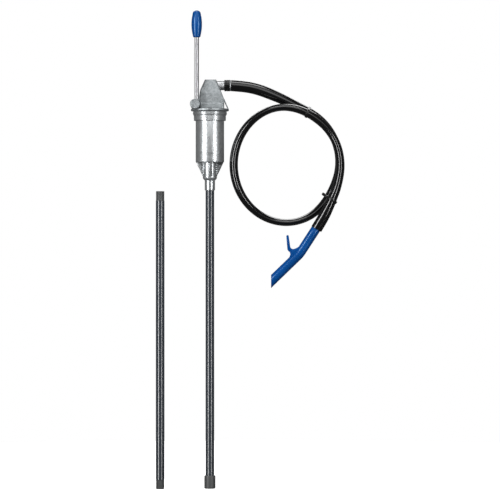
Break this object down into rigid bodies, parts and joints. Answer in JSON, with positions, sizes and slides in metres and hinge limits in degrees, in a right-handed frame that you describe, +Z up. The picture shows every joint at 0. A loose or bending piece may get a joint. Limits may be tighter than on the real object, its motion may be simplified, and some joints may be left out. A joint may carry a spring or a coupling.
{
  "type": "drum barrel pump",
  "caption": "Lever-operated drum pump with a 2 inch bung adapter, suction tube, loose extension tube, tied-up delivery hose and hooked nozzle.",
  "frame": {"origin": "on the pump's axis, in the plane of the bung adapter's shoulder that seats on the drum", "axes": "+Z up along the pump's axis, +X towards the spout, -Y the side that the lever's hub is on"},
  "size_m": [0.3496, 0.0864, 0.8833],
  "materials": {
    "cast_alloy": "sandy as-cast zinc alloy, matte",
    "cast_alloy_bright": "tumbled cast alloy, satin and brighter than the head",
    "cast_alloy_inner": "machined alloy",
    "plated_steel": "bright plated, satin",
    "plain_steel": "ground steel",
    "dark_steel": "black oxide",
    "chromed_steel": "bright chrome plating",
    "cast_iron_part": "plain casting",
    "bronze": "sintered bronze",
    "black_rubber": "matte nitrile rubber",
    "hose_rubber": "smooth black rubber",
    "hose_pvc": "glossy black flexible PVC",
    "tie_nylon": "black nylon",
    "tube_plastic": "dark blue-grey rigid PVC, glossy",
    "fitting_plastic": "dark grey rigid PVC, satin",
    "valve_plastic": "natural acetal",
    "blue_plastic": "glossy blue moulding"
  },
  "bodies": {
    "pump": {"head_casting": "cast_alloy", "head_gasket": "black_rubber", "spout_nipple": "plated_steel", "bung_adapter": "cast_alloy_bright", "cylinder_casting": "cast_alloy_bright", "suction_tube": "tube_plastic", "tube_seal": "black_rubber", "tube_coupling": "fitting_plastic", "shaft_bush_front": "bronze", "shaft_bush_rear": "bronze", "shaft_seal": "black_rubber", "rod_guide": "cast_alloy_inner", "rod_bush": "bronze", "foot_valve_seat": "valve_plastic", "foot_valve_cage": "valve_plastic", "hose_cuff": "hose_rubber", "hose_lead": "hose_pvc", "hose_coil": "hose_pvc", "hose_tail": "hose_pvc", "cable_tie_upper": "tie_nylon", "cable_tie_lower": "tie_nylon", "nozzle": "blue_plastic"},
    "lever": {"lever_rod": "chromed_steel", "lever_grip": "blue_plastic", "lever_hub": "cast_alloy", "hub_set_screw": "dark_steel", "crank_shaft": "plain_steel", "crank_fork": "cast_iron_part", "crank_lock_pin": "dark_steel"},
    "piston": {"piston_rod": "plain_steel", "cross_pin": "plain_steel", "cross_pin_clips": "dark_steel", "valve_stop": "plain_steel", "piston_body": "cast_alloy_inner", "piston_cup": "black_rubber", "cup_washer": "plain_steel", "piston_nut": "plain_steel"},
    "piston_valve": {"piston_valve": "valve_plastic"},
    "foot_valve": {"foot_valve": "valve_plastic"},
    "extension": {"extension_tube": "tube_plastic"}
  },
  "joints": [
    {"name": "lever_swing", "type": "hinge", "parent": "pump", "child": "lever", "pos_m": [-0.0272, 0, 0.0202], "axis": [0, -1, 0], "range_deg": [0, 60]},
    {"name": "piston_stroke", "type": "slide", "parent": "pump", "child": "piston", "axis": [0, 0, 1], "range_m": [0, 0.0314]},
    {"name": "piston_valve_lift", "type": "slide", "parent": "piston", "child": "piston_valve", "axis": [0, 0, 1], "range_m": [0, 0.003]},
    {"name": "foot_valve_lift", "type": "slide", "parent": "pump", "child": "foot_valve", "axis": [0, 0, 1], "range_m": [0, 0.004]},
    {"name": "extension_lift", "type": "slide", "parent": "pump", "child": "extension", "axis": [0, 0, 1], "range_m": [0, 0.1]}
  ],
  "couplings": [
    {"joint": "piston_stroke", "follows": "lever_swing", "m_per_rad": 0.029992}
  ]
}
